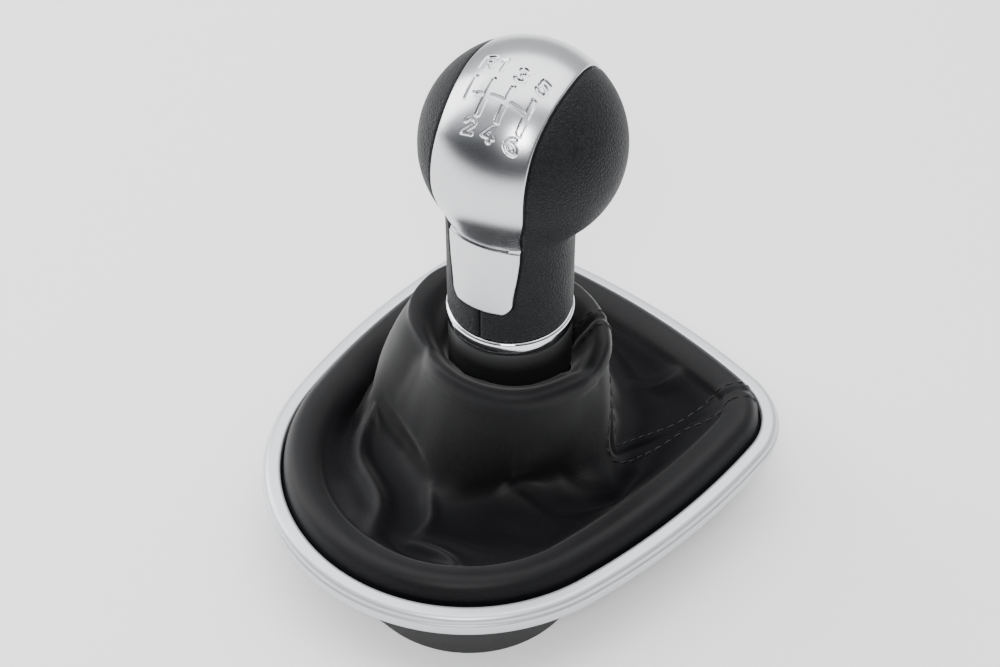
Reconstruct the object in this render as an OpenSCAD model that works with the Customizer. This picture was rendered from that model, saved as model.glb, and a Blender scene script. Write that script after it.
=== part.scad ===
// Gear shift knob with its leather gaiter and console frame.
// Z is up and the frame's skirt stands on z = 0. +Y is forward in the vehicle and +X is its right
// side. The origin is in the middle of the frame, which is symmetric about x = 0, and the lever's
// axis stands a little ahead of it.

/* [Knob] */
// Diameter of the ball head over its leather
head_d = 52.2; // [50:0.2:56]
// Height of the head's centre above the middle of the chrome ring
head_rise = 51.2; // [49:0.2:56]
// How far the head's centre lies ahead of the lever axis
head_ahead = 6; // [3:0.5:8]
// Diameter of the neck over its leather
neck_d = 32.8; // [31.6:0.2:35]
// Turn of the knob on its lever, seen from above
knob_turn = 12; // [0:1:15]
// Thickness of the leather on the knob
cover_t = 1.2; // [1:0.1:1.6]
// Gap of the sewn edges where two leather pieces meet
seam_gap = 0.3; // [0.2:0.05:0.5]

/* [Trim strip] */
// Width of the metal strip over the head
strip_w = 25.5; // [22:0.5:30]
// Width of the strip's tongue where it leaves the head
tongue_w = 20; // [17:0.5:24]
// Width of the tongue just above its rounded end
tongue_end_w = 17.8; // [13:0.2:20]
// Height of the tongue's lowest point above the middle of the ring
tongue_rise = 12.6; // [8:0.2:16]
// Thickness of the metal strip
strip_t = 1.5; // [1.2:0.1:2]
// How far the strip stands proud of the leather
strip_proud = 0.2; // [0.1:0.05:0.4]
// Gap round the strip
strip_gap = 0.25; // [0.15:0.05:0.4]
// Angle over the head, from level at the rear, at which the strip ends in front
strip_end = 196; // [182:2:204]
// Angle over the head of the shift pattern's middle
pattern_angle = 59; // [52:1:66]
// Distance between two neighbouring lanes of the pattern
lane_pitch = 5.4; // [4.6:0.2:6]
// Length of a lane
lane_l = 11.6; // [9:0.2:13]
// Width of the engraved line
line_w = 0.9; // [0.6:0.1:1.2]
// Depth of the engraving
line_depth = 0.4; // [0.2:0.05:0.6]

/* [Neck fittings] */
// Height of the chrome ring
ring_h = 4.6; // [3:0.2:7]
// How far the chrome ring stands proud of the neck
ring_proud = 0.4; // [0.2:0.1:1]
// Diameter of the lever rod that the sleeve takes
lever_d = 12; // [10:0.5:13]
// Clearance between the lever and the sleeve, on the diameter
lever_fit = 0.2; // [0.1:0.05:0.4]
// Outer diameter of the sleeve
sleeve_d = 18; // [17:0.5:20]
// Depth of the sleeve inside the knob, above the middle of the ring
sleeve_up = 38; // [30:1:44]
// Length of the sleeve below the middle of the ring
sleeve_down = 37; // [33:1:40]
// Length of the slots in the sleeve's lower end
slot_l = 11; // [8:1:13]
// Width of those slots
slot_w = 1.6; // [1:0.1:2.4]
// Height of the clamp band round the sleeve's end
clamp_h = 7; // [5:0.5:8]
// Thickness of the clamp band
clamp_t = 0.8; // [0.6:0.1:1.2]
// Length of the collar that carries the gaiter's throat
collar_h = 21; // [19:0.5:23]
// Height of the tie round the throat
tie_h = 4; // [3:0.5:5]
// Thickness of the tie
tie_t = 1; // [0.8:0.1:1.4]

/* [Gaiter] */
// Thickness of the gaiter's leather
hide_t = 1.3; // [1:0.1:1.6]
// Height of the ring's middle above the top of the bezel
ring_rise = 45; // [43:0.5:50]
// Height of the turned-over edge above the top of the bezel
crest_rise = 37; // [34:0.5:38]
// Diameter of the tube at its turned-over edge, without its lobes
crest_d = 50; // [47:0.5:54]
// Diameter of the tube's foot, without its lobes
foot_d = 62; // [58:1:66]
// How far the tube swells out to the left, half way up
lobe = 10; // [6:0.5:12]
// Fall of the mouth from the turned-over edge to the collar
mouth_drop = 4; // [2:0.2:5]
// Height of the padded roll along the bezel
roll_rise = 5.4; // [3:0.2:7]
// Direction of the two corner seams, from the vehicle's right
seam_angle = 49; // [44:1:56]
// How far those seams swing round to the side at the tube's foot, in degrees
seam_swing = 34; // [0:1:36]
// Height of the creases in the gaiter's skirt
fold_h = 3; // [1:0.2:4]

/* [Frame] */
// Distance from the lever axis to the inner edge's front
inner_front = 58.9; // [56:0.1:62]
// Distance from the lever axis to the inner edge's rear
inner_rear = 67.8; // [65:0.1:71]
// Radius of the front edge
front_r = 217; // [190:1:260]
// Radius of the front corners
corner_r = 19.3; // [16:0.1:24]
// Distance from the middle to the centre of a front corner
corner_x = 35.1; // [33:0.1:37]
// Radius of the sides
side_r = 204; // [180:1:240]
// Radius of the rear end
rear_r = 51.3; // [49:0.1:54]
// Width of the bezel
bezel_w = 5.6; // [4.6:0.1:8]
// Height of the bezel
bezel_h = 6.4; // [5:0.1:8]
// Height of the bezel's top above the skirt's foot
stand_h = 23; // [21:0.5:28]
// Wall thickness of the carrier
wall_t = 2.2; // [1.6:0.1:3]
// Half the width of the skirt
skirt_x = 43.4; // [40:0.2:45]
// Distance from the lever axis to the skirt's rear face
skirt_rear = 61; // [58:0.2:63]
// Distance from the lever axis to the skirt's front face
skirt_front = 50; // [46:0.2:52]
// Corner radius of the skirt
skirt_r = 31; // [24:0.5:36]
// Width of the snap tabs
tab_w = 14; // [12:1:18]

/* [Hidden] */

// Radial clearance of parts that are pushed together, and a running overlap for cutters
fit = 0.1;
cut = 1;
fine = 96;

// Heights of the main levels above the floor
bezel_z = stand_h;
ring_z = bezel_z + ring_rise;
crest_z = bezel_z + crest_rise;

head_r = head_d / 2;
neck_r = neck_d / 2;
core_r = head_r - cover_t - fit;
core_neck_r = neck_r - cover_t - fit;
ring_r = neck_r + ring_proud;
sleeve_r = sleeve_d / 2;
bore_r = (lever_d + lever_fit) / 2;
// The lever axis stands where the frame's outline, front and rear, puts the origin half way.
lever_y = (inner_rear - inner_front) / 2;
collar_r = neck_r;
// Room between the leather and the hard parts that it touches
soft_gap = 0.3;
neck_foot = ring_h / 2;
collar_top = -ring_h / 2 - fit;
collar_foot = collar_top - collar_h;
tie_z = collar_foot + 1.2;

// The knob's own frame: turned on the lever, with z = 0 in the middle of the chrome ring.
module in_knob() {
    translate([0, lever_y, ring_z]) rotate([0, 0, knob_turn]) children();
}

module head_ball(r) {
    translate([0, head_ahead, head_rise]) sphere(r = r, $fn = fine);
}

// Ball and neck together, both grown by g beyond the leather's face
module knob_form(g) {
    head_ball(head_r + g);
    translate([0, 0, neck_foot]) cylinder(r = neck_r + g, h = head_rise - neck_foot, $fn = fine);
}

// The strip seen from the rear, grown by g: parallel over the head, waisted at the crease, and a
// tongue that narrows to a rounded end.
crease_rise = head_rise - 16;
tongue_r = 5.5;
function strip_side(g) = [
    [strip_w / 2 + g, head_rise + head_r + 3],
    [strip_w / 2 + g, head_rise - 3],
    [(strip_w + tongue_w) / 4 + 0.4 + g, crease_rise + 5],
    [tongue_w / 2 + g, crease_rise],
    [tongue_end_w / 2 + g, tongue_rise + tongue_r],
];
function tongue_corner(g) = [for (a = [0 : 15 : 75])
    [tongue_end_w / 2 - tongue_r + (tongue_r + g) * cos(a),
     tongue_rise + tongue_r - (tongue_r + g) * sin(a)]];
function mirrored(p) = [for (i = [len(p) - 1 : -1 : 0]) [-p[i].x, p[i].y]];
function rear_outline(g) = let (half = concat(strip_side(g), tongue_corner(g), [[2, tongue_rise - g]]))
    concat(half, mirrored(half));
// The strip seen from the front: it ends with rounded corners at strip_end over the head.
front_foot = head_rise + head_r * sin(strip_end);
function front_outline(g) = let (r = 8, half = concat([[strip_w / 2 + g, head_rise + head_r + 3]],
    [for (a = [0 : 15 : 90]) [strip_w / 2 - 1 - r + (r + g) * cos(a), front_foot + r - (r + g) * sin(a)]]))
    concat(half, mirrored(half));

// Everything of the knob that lies behind the strip's outline, grown by g
module strip_prism(g) {
    translate([0, head_ahead, 0]) rotate([90, 0, 0])
        linear_extrude(height = head_r + head_ahead + 10) polygon(rear_outline(g));
    translate([0, head_ahead + head_r + 10, 0]) rotate([90, 0, 0])
        linear_extrude(height = head_r + 10 + 0.01) polygon(front_outline(g));
}

// Lanes and gate of the shift pattern, flat, with the pattern's middle at the origin
module pattern_lines() {
    for (lane = [-0.5 : 1 : 1.5])
        translate([lane_pitch * lane - line_w / 2, -lane_l / 2]) square([line_w, lane_l]);
    translate([-0.5 * lane_pitch, -line_w / 2]) square([2 * lane_pitch, line_w]);
    translate([-1.5 * lane_pitch - line_w / 2, -line_w / 2]) square([line_w, (lane_l + line_w) / 2]);
}

module trim_strip() {
    color("silver") in_knob() difference() {
        intersection() {
            knob_form(strip_proud);
            strip_prism(0);
        }
        knob_form(strip_proud - strip_t);
        difference() {
            translate([0, head_ahead, head_rise]) rotate([90 - pattern_angle, 0, 0])
                linear_extrude(height = head_r + 5) pattern_lines();
            head_ball(head_r + strip_proud - line_depth);
        }
    }
}

// Leather of one side of the knob, right with side = 1 and left with side = -1
module cover(side) {
    difference() {
        knob_form(0);
        knob_form(-cover_t);
        translate([0, 0, neck_foot - cut]) cylinder(r = core_neck_r + fit, h = head_rise, $fn = fine);
        strip_prism(strip_gap);
        big = 2 * head_d;
        translate([side > 0 ? seam_gap / 2 - big : -seam_gap / 2, -big / 2, -cut])
            cube([big, big, big]);
    }
}

module left_cover() {
    color("dimgray") in_knob() cover(-1);
}

module right_cover() {
    color("dimgray") in_knob() cover(1);
}

// Moulded core with a seat for the strip and a blind hole for the sleeve
module knob_core() {
    color("darkslategray") in_knob() difference() {
        union() {
            head_ball(core_r);
            translate([0, 0, neck_foot]) cylinder(r = core_neck_r, h = head_rise - neck_foot, $fn = fine);
        }
        difference() {
            strip_prism(strip_gap);
            knob_form(strip_proud - strip_t - fit);
        }
        translate([0, 0, neck_foot - cut])
            cylinder(r = sleeve_r + fit, h = sleeve_up - neck_foot + cut, $fn = fine);
    }
}

module chrome_ring() {
    edge = 0.8;
    color("gainsboro") in_knob() rotate_extrude($fn = fine) polygon([
        [sleeve_r + fit, -ring_h / 2],
        [ring_r - edge, -ring_h / 2],
        [ring_r, -ring_h / 2 + edge],
        [ring_r, ring_h / 2 - edge],
        [ring_r - edge, ring_h / 2],
        [sleeve_r + fit, ring_h / 2],
    ]);
}

module lever_sleeve() {
    roof_t = 3;
    color("dimgray") in_knob() difference() {
        translate([0, 0, -sleeve_down]) cylinder(r = sleeve_r, h = sleeve_down + sleeve_up - fit, $fn = fine);
        translate([0, 0, -sleeve_down - cut])
            cylinder(r = bore_r, h = sleeve_down + sleeve_up - roof_t + cut, $fn = fine);
        for (turn = [0, 90])
            rotate([0, 0, turn]) translate([-slot_w / 2, -sleeve_d, -sleeve_down - cut])
                cube([slot_w, 2 * sleeve_d, slot_l + cut]);
    }
}

// One-ear clamp: a band with a squeezed ear, which is open towards the sleeve's slotted end
module sleeve_clamp() {
    ear_w = 6;
    ear_out = 3.2;
    band_r = sleeve_r + fit + clamp_t;
    color("lightgray") in_knob() translate([0, 0, -sleeve_down + 1.5]) {
        difference() {
            union() {
                cylinder(r = band_r, h = clamp_h, $fn = fine);
                rotate([0, 0, 45]) translate([sleeve_r, -ear_w / 2, 0])
                    cube([ear_out + clamp_t, ear_w, clamp_h]);
            }
            translate([0, 0, -cut]) cylinder(r = sleeve_r + fit, h = clamp_h + 2 * cut, $fn = fine);
            rotate([0, 0, 45]) translate([sleeve_r - cut, -ear_w / 2 + clamp_t, -cut])
                cube([ear_out + cut, ear_w - 2 * clamp_t, clamp_h + 2 * cut]);
        }
    }
}

// Collar under the ring, with a groove that the tie presses the leather into
module gaiter_collar() {
    groove = 0.6;
    color("black") in_knob() rotate_extrude($fn = fine) polygon([
        [sleeve_r + fit, collar_foot],
        [collar_r, collar_foot],
        [collar_r, tie_z - fit],
        [collar_r - groove, tie_z + fit],
        [collar_r - groove, tie_z + tie_h - fit],
        [collar_r, tie_z + tie_h + fit],
        [collar_r, collar_top],
        [sleeve_r + fit, collar_top],
    ]);
}

// Tie round the throat, with its lock block on the left
grip_r = collar_r + soft_gap;
throat_r = grip_r + hide_t;
module gaiter_tie() {
    block_w = 7;
    color("black") in_knob() translate([0, 0, tie_z]) difference() {
        union() {
            cylinder(r = throat_r + soft_gap + tie_t, h = tie_h, $fn = fine);
            rotate([0, 0, 170]) translate([throat_r - 2, -block_w / 2, 0.3])
                cube([5.6, block_w, tie_h - 0.6]);
        }
        translate([0, 0, -cut]) cylinder(r = throat_r + soft_gap, h = tie_h + 2 * cut, $fn = fine);
    }
}

// The frame's outline: a front arc, two corner arcs, two side arcs and a rear arc, each tangent to
// the next. The centres follow from the radii.
front_c = [0, inner_front - front_r];
rear_c = [0, rear_r - inner_rear];
corner_c = [corner_x, front_c.y + sqrt(pow(front_r - corner_r, 2) - pow(corner_x, 2))];
side_c = let (a = side_r - corner_r, b = side_r - rear_r, v = corner_c - rear_c, d = norm(v), u = v / d,
    t = (b * b - a * a + d * d) / (2 * d), h = sqrt(b * b - t * t))
    rear_c + u * t + [-u.y, u.x] * h;
function bearing(v) = atan2(v.y, v.x);
turn_1 = bearing(corner_c - front_c);
turn_2 = bearing(corner_c - side_c);
turn_3 = bearing(rear_c - side_c);

// Distance along direction u to the circle about c with radius r
function reach(c, r, u) = let (k = c * u) k + sqrt(max(0, r * r - c * c + k * k));
// Direction of the point where the arc about c with radius r ends, at turn from its centre
function junction(c, r, turn) = bearing(c + r * [cos(turn), sin(turn)]);
// Distance from the lever axis to the outline in direction a, with the outline grown by g
function frame_reach(a, g) = let (u = [abs(cos(a)), sin(a)], b = bearing(u))
    b >= junction(front_c, front_r + g, turn_1) ? reach(front_c, front_r + g, u)
    : b >= junction(corner_c, corner_r + g, turn_2) ? reach(corner_c, corner_r + g, u)
    : b >= junction(side_c, side_r + g, turn_3) ? reach(side_c, side_r + g, u)
    : reach(rear_c, rear_r + g, u);

// Points of the outline grown by g, at even steps of angle about a point near its middle
frame_steps = 120;
function frame_outline(g) = [for (i = [0 : frame_steps - 1]) let (a = i * 360 / frame_steps)
    frame_reach(a, g) * [cos(a), sin(a)]];

// Section of the bezel: distance out from its inner edge, and height above its top
bezel_lip = 2.6;
bezel_wall = 1.6;
function bezel_section() = [
    [0, -bezel_lip], [0, -0.9], [0.3, -0.3], [0.9, 0],
    [bezel_w - 1.8, -0.2], [bezel_w - 0.9, -0.8], [bezel_w - 0.3, -1.9],
    [bezel_w, -bezel_h + 0.9], [bezel_w - 0.2, -bezel_h], [bezel_w - bezel_wall + 0.2, -bezel_h],
    [bezel_w - bezel_wall, -bezel_lip],
];

module bezel() {
    section = bezel_section();
    n = len(section);
    points = [for (s = section) for (p = frame_outline(s.x)) [p.x, p.y, bezel_z + s.y]];
    function spot(j, i) = (j % n) * frame_steps + i % frame_steps;
    faces = [for (j = [0 : n - 1]) for (i = [0 : frame_steps - 1])
        each [[spot(j, i), spot(j + 1, i + 1), spot(j + 1, i)],
              [spot(j, i), spot(j, i + 1), spot(j + 1, i + 1)]]];
    color("gainsboro") translate([0, lever_y, 0]) polyhedron(points, faces, convexity = 6);
}

// Carrier: a flange that follows the bezel, a skirt that drops into the console, and snap tabs
flange_z = bezel_z - bezel_lip - hide_t - 2 * soft_gap;
rim_out = bezel_w - bezel_wall - 0.3;
rim_in = rim_out - 1.4;
tab_y = -13;
tab_step = 25;
function skirt_outline(g) = let (r = skirt_r + g, x = skirt_x - skirt_r, steps = 8)
    [for (q = [[1, 1, 0], [-1, 1, 90], [-1, -1, 180], [1, -1, 270]]) for (i = [0 : steps])
        let (a = q[2] + 90 * i / steps)
        [q[0] * x + r * cos(a), (q[1] > 0 ? skirt_front - skirt_r : skirt_r - skirt_rear) + r * sin(a)]];

module tab(l) {
    lip = 2.2;
    rotate([90, 0, 0]) translate([0, 0, -l / 2]) linear_extrude(height = l)
        polygon([[-0.5, 0], [0.4, 0], [lip, 4.5], [lip, 5.5], [-0.5, 7.5]]);
}

module carrier() {
    tab_z = 3;
    flange_foot = flange_z - wall_t;
    color("black") translate([0, lever_y, 0]) difference() {
        union() {
            translate([0, 0, flange_foot]) linear_extrude(height = wall_t) polygon(frame_outline(rim_out));
            translate([0, 0, flange_foot]) linear_extrude(height = bezel_z - bezel_lip - flange_foot)
                difference() {
                    polygon(frame_outline(rim_out));
                    polygon(frame_outline(rim_in));
                }
            linear_extrude(height = flange_z) polygon(skirt_outline(0));
            for (side = [0, 1]) mirror([side, 0, 0])
                for (y = [tab_y, tab_y + tab_step]) translate([skirt_x, y, tab_z]) tab(tab_w);
            translate([0, -skirt_rear, tab_z]) rotate([0, 0, -90]) tab(tab_w);
            translate([0, skirt_front, tab_z]) rotate([0, 0, 90]) tab(tab_w);
        }
        translate([0, 0, -cut]) linear_extrude(height = flange_z + 2 * cut) polygon(skirt_outline(-wall_t));
    }
}

// Lobes and pinches of the tube's wall. Each is [direction, spread in degrees, and its shares of lobe at
// the crest, at three levels under it and at the foot].
lobes = [
    [190, 48, 0.42, 0.7, 1, 1.1, 0.9],
    [234, 13, -0.22, -0.25, -0.15, 0, -0.3],
    [272, 15, 0, 0, 0.05, 0.3, 0.5],
    [318, 20, 0, 0, 0, -0.2, -0.55],
    [0, 15, 0.05, 0.03, 0.05, 0.15, 0.5],
];
function sum_of(v, i = 0) = i < len(v) ? v[i] + sum_of(v, i + 1) : 0;
function apart(a, b) = abs((a - b + 540) % 360 - 180);
function wall_reach(a, share, level) = (crest_d * (1 - share) + foot_d * share) / 2
    + lobe * sum_of([for (l = lobes) l[level + 2] * exp(-pow(apart(a, l[0]) / l[1], 2))]);

// Control points of the gaiter in direction a, from the hem under the bezel, over the roll, down to
// the valley, up the tube, over the turned edge, across the mouth and down to the throat. Each is
// [distance from the lever axis, height].
function gaiter_line(a) = let (
    crest = wall_reach(a, 0, 0),
    foot = wall_reach(a, 1, 4),
    roll_in = max(frame_reach(a, -12), foot + 3.5),
    top = crest_z,
    mouth = top - mouth_drop
) [
    [frame_reach(a, rim_in - soft_gap), bezel_z - bezel_lip - soft_gap],
    [frame_reach(a, 0), bezel_z - bezel_lip - soft_gap],
    [frame_reach(a, -0.9), bezel_z - 1.2],
    [frame_reach(a, -1.4), bezel_z + 1.6],
    [frame_reach(a, -2.9), bezel_z + roll_rise - 1],
    [frame_reach(a, -5.8), bezel_z + roll_rise],
    [0.35 * frame_reach(a, -6) + 0.65 * roll_in, bezel_z + roll_rise - 1.6],
    [roll_in, bezel_z + 0.6],
    [0.5 * roll_in + 0.5 * foot + 0.8, bezel_z - 1.6],
    [0.12 * roll_in + 0.88 * foot + 1, bezel_z + 0.3],
    [foot - 0.6, bezel_z + 3.4],
    [wall_reach(a, 0.4, 3), bezel_z + 0.24 * crest_rise],
    [wall_reach(a, 0.22, 2), bezel_z + 0.49 * crest_rise],
    [wall_reach(a, 0.1, 1), bezel_z + 0.76 * crest_rise],
    [crest + 0.8, top - 3.4],
    [crest - 0.5, top - 0.4],
    [crest - 3.2, top - 0.2],
    [0.5 * crest + 0.5 * grip_r + 0.4, top - 0.35 * mouth_drop],
    [grip_r + 1.2, mouth],
    [grip_r + 0.05, mouth - 3],
    [grip_r, ring_z + tie_z - 0.6],
];

// A smooth line through the control points p, at place t counted in points (Catmull-Rom)
function pick(p, i) = p[max(0, min(len(p) - 1, i))];
function smooth(p, t) = let (i = min(len(p) - 2, floor(t)), f = t - i,
    a = pick(p, i - 1), b = pick(p, i), c = pick(p, i + 1), d = pick(p, i + 2))
    0.5 * (2 * b + f * (c - a + f * (2 * a - 5 * b + 4 * c - d + f * (3 * b - a - 3 * c + d))));

// Folds of the skirt: each is a ridge or a furrow through points [x, y, share of fold_h], with its half
// width.
folds = [
    [[[-30, -20, 1.2], [-27, -30, 1.9], [-22, -37, 2], [-11, -42, 1.8], [-3, -48, 1.3], [1, -57, 0.4]], 5],
    [[[-20, -29, -0.4], [-13, -32, -0.7], [-5, -37, -0.5]], 4],
    [[[4, -36, 0.5], [8, -41, 1], [8, -47, 0.4]], 3.5],
    [[[8, -50, 0.3], [16, -48, 1], [23, -48, 1], [28, -51, 0.5]], 3],
    [[[11, -45, 0.5], [31, -36, 0.3]], 4],
    [[[17, -20, 0.5], [37, -17, 0.3]], 4.5],
    [[[-41, -2, 0.3], [-42, 12, 0.7], [-33, 22, 0.4]], 4.5],
    [[[-22, 36, 0.4], [-8, 40, 0.8], [12, 37, 0.3]], 4.5],
    [[[16, 34, 0.3], [24, 46, 0.6]], 4],
];
function fold_share(q, b, c, w) = let (v = [c.x - b.x, c.y - b.y], p = q - [b.x, b.y],
    s = max(0, min(1, p * v / (v * v))))
    (b.z + (c.z - b.z) * s) * exp(-pow(norm(p - v * s) / w, 2));
function fold_z(q) = fold_h * sum_of([for (f = folds) let (
    shares = [for (i = [1 : len(f[0]) - 1]) fold_share(q, f[0][i - 1], f[0][i], f[1])]
) f[0][0].z > 0 ? max(shares) : min(shares)]);

// How far a fold moves the tube's wall, by direction and height
function tube_fold(a, h) = 0.7 * sin(3 * a + 2.2 * h + 40) + 0.4 * sin(5 * a - 3 * h);

// A point of the gaiter: direction a, place t along its line, depth d under its face
function gaiter_point(a, t, d) = let (
    p = gaiter_line(a),
    q = smooth(p, t),
    v = smooth(p, min(len(p) - 1, t + 0.1)) - smooth(p, max(0, t - 0.1)),
    n = [v.y, -v.x] / norm(v),
    skirt = max(0, 1 - pow((t - 8.5) / 2.3, 4)),
    wall = max(0, 1 - pow((t - 12.3) / 2.6, 2)),
    r = q.x - d * n.x + wall * tube_fold(a, q.y - bezel_z),
    flat = r * [cos(a), sin(a)]
) [flat.x, flat.y, q.y - d * n.y + skirt * fold_z(flat)];

// Places of the rows along a line, close together in the folds and over the turned edge
row_runs = [[0, 4, 5], [4, 7, 5], [7, 11.5, 11], [11.5, 14, 5], [14, 18.5, 8], [18.5, 20, 2]];
row_places = concat([for (k = row_runs) for (i = [0 : k[2] - 1]) k[0] + (k[1] - k[0]) * i / k[2]], [20]);

// How far a corner seam has swung to the side at place t: most at the tube's foot
function seam_turn(t) = seam_swing * exp(-pow((t - 10) / 1.9, 2));

// A panel of the gaiter between two directions, as a closed sheet of the leather's thickness. Its ends
// swing by the seams' turn, from by lean and to by minus lean.
module panel(from, to, columns, lean) {
    rows = len(row_places) - 1;
    across = columns + 1;
    layer = across * (rows + 1);
    points = [for (d = [0, hide_t]) for (t = row_places) for (i = [0 : columns])
        let (a = from + lean * seam_turn(t), b = to - lean * seam_turn(t))
        gaiter_point(a + (b - a) * i / columns, t, d)];
    function spot(k, j, i) = k * layer + j * across + i;
    faces = concat(
        [for (j = [0 : rows - 1]) for (i = [0 : columns - 1])
            each [[spot(0, j, i), spot(0, j + 1, i), spot(0, j + 1, i + 1)],
                  [spot(0, j, i), spot(0, j + 1, i + 1), spot(0, j, i + 1)],
                  [spot(1, j, i), spot(1, j + 1, i + 1), spot(1, j + 1, i)],
                  [spot(1, j, i), spot(1, j, i + 1), spot(1, j + 1, i + 1)]]],
        [for (j = [0 : rows - 1])
            each [[spot(0, j, 0), spot(1, j, 0), spot(1, j + 1, 0)],
                  [spot(0, j, 0), spot(1, j + 1, 0), spot(0, j + 1, 0)],
                  [spot(0, j, columns), spot(1, j + 1, columns), spot(1, j, columns)],
                  [spot(0, j, columns), spot(0, j + 1, columns), spot(1, j + 1, columns)]]],
        [for (i = [0 : columns - 1])
            each [[spot(0, 0, i), spot(1, 0, i + 1), spot(1, 0, i)],
                  [spot(0, 0, i), spot(0, 0, i + 1), spot(1, 0, i + 1)],
                  [spot(0, rows, i), spot(1, rows, i), spot(1, rows, i + 1)],
                  [spot(0, rows, i), spot(1, rows, i + 1), spot(0, rows, i + 1)]]]
    );
    polyhedron(points, faces, convexity = 10);
}

// Half the angle that the sewn edges leave open at a seam
seam_open = 0.25;

module gaiter_front_panel() {
    color("black") translate([0, lever_y, 0])
        panel(seam_angle + seam_open, 180 - seam_angle - seam_open, 19, -1);
}

module gaiter_main_panel() {
    color("black") translate([0, lever_y, 0])
        panel(180 - seam_angle + seam_open, 360 + seam_angle - seam_open, 53, 1);
}

knob_core();
left_cover();
right_cover();
trim_strip();
chrome_ring();
lever_sleeve();
sleeve_clamp();
gaiter_collar();
gaiter_tie();
gaiter_main_panel();
gaiter_front_panel();
bezel();
carrier();
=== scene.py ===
import functools
import math

import bpy
import numpy as np
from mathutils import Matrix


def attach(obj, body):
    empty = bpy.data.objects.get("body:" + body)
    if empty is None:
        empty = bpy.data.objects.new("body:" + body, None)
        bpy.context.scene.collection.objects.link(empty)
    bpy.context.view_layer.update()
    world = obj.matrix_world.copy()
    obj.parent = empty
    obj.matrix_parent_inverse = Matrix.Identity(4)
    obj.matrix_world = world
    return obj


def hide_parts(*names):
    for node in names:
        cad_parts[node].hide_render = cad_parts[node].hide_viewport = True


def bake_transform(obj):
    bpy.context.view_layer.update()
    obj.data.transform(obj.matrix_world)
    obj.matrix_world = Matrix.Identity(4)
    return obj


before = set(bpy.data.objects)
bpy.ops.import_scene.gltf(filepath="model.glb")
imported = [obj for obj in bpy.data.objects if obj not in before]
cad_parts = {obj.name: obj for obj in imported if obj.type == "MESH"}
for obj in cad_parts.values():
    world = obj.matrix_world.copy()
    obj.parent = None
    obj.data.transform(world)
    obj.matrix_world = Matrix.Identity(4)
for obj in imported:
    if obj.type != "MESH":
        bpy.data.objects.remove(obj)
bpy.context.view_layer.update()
mm = 0.001
print("frame loaded:", len(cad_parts), "CAD nodes")

# Where the main groups stand, in mm: the lever axis is a little ahead of the origin
place = {"leverY": 4.45, "bezelTop": 23.0, "ringZ": 68.0, "knobTurn": 12.0}


def pack(*parts):
    # arrays of coordinates side by side, as the last axis of one array
    return np.stack(np.broadcast_arrays(*parts), -1)


def sizeOf(v):
    return np.linalg.norm(v, axis=-1)


def unit(v):
    return v / np.maximum(sizeOf(v), 1e-12)[..., None]


def smoothStep(x):
    x = np.clip(x, 0, 1)
    return x * x * (3 - 2 * x)


def throughPoints(points, t):
    # a smooth line (Catmull-Rom) through points, or through the rows of a grid, at places t counted in them
    points = np.asarray(points, float)
    i = np.clip(np.floor(t).astype(int), 0, len(points) - 2)
    f = (t - i).reshape(-1, *[1] * (points.ndim - 1))
    a, b, c, d = (points[np.clip(i + k, 0, len(points) - 1)] for k in (-1, 0, 1, 2))
    return 0.5 * (2 * b + f * (c - a + f * (2 * a - 5 * b + 4 * c - d + f * (3 * b - a - 3 * c + d))))


def evenly(points, count):
    # the same line with count points at even distances along it
    steps = sizeOf(np.diff(points, axis=0))
    run = np.concatenate([[0], np.cumsum(steps)])
    at = np.linspace(0, run[-1], count)
    return np.stack([np.interp(at, run, points[:, k]) for k in range(points.shape[1])], -1)


def roundCorners(corners, steps=5):
    # a closed line of [place, place, radius]: each corner is cut back by its radius and bridged with a quadratic curve
    corners = np.asarray(corners, float)
    points, radii = corners[..., :2], corners[..., 2:]
    before, after = np.roll(points, 1, -2) - points, np.roll(points, -1, -2) - points
    cut = np.minimum(radii, 0.45 * np.minimum(sizeOf(before), sizeOf(after))[..., None])
    p, q = points + unit(before) * cut, points + unit(after) * cut
    k = np.linspace(0, 1, steps)[:, None]
    rows = (1 - k) ** 2 * p[..., None, :] + 2 * k * (1 - k) * points[..., None, :] + k**2 * q[..., None, :]
    return rows.reshape(*points.shape[:-2], -1, 2)


def gridNormals(p, wrapRows=False, wrapColumns=False):
    # normal of a grid: its slope along a row crossed with its slope down a column
    def slope(axis, wrap):
        return np.roll(p, -1, axis) - np.roll(p, 1, axis) if wrap else np.gradient(p, axis=axis)

    return unit(np.cross(slope(1, wrapColumns), slope(0, wrapRows)))


def gridQuads(rows, columns, wrapRows=False, wrapColumns=False):
    r, c = np.meshgrid(np.arange(rows - (not wrapRows)), np.arange(columns - (not wrapColumns)), indexing="ij")
    r2, c2 = (r + 1) % rows, (c + 1) % columns
    return pack(r * columns + c, r * columns + c2, r2 * columns + c2, r2 * columns + c).reshape(-1, 4)


def shellOf(outer, inner, wrapColumns=False):
    # a closed shell: two grids, one turned round, and the walls between their edges
    rows, columns = outer.shape[:2]
    count = rows * columns
    index = np.arange(count).reshape(rows, columns)
    if wrapColumns:
        loops = [index[0], index[-1][::-1]]
    else:
        loops = [np.concatenate([index[0, :-1], index[:-1, -1], index[-1, :0:-1], index[:0:-1, 0]])]
    walls = [pack(np.roll(k, -1), k, k + count, np.roll(k, -1) + count) for k in loops]
    face = gridQuads(rows, columns, False, wrapColumns)
    quads = np.concatenate([face, face[:, ::-1] + count, *walls])
    return np.concatenate([outer.reshape(-1, 3), inner.reshape(-1, 3)]), quads


def joined(parts):
    # several (points, quads) pairs as one
    starts = np.cumsum([0] + [len(points) for points, quads in parts[:-1]])
    return np.concatenate([p for p, q in parts]), np.concatenate([q + s for (p, q), s in zip(parts, starts)])


def capQuads(ring):
    # a closed ring with an even number of points, filled with strips across it
    n = len(ring)
    k = np.arange(n // 2 - 1)
    return pack(ring[k], ring[k + 1], ring[n - k - 2], ring[n - k - 1])


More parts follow.
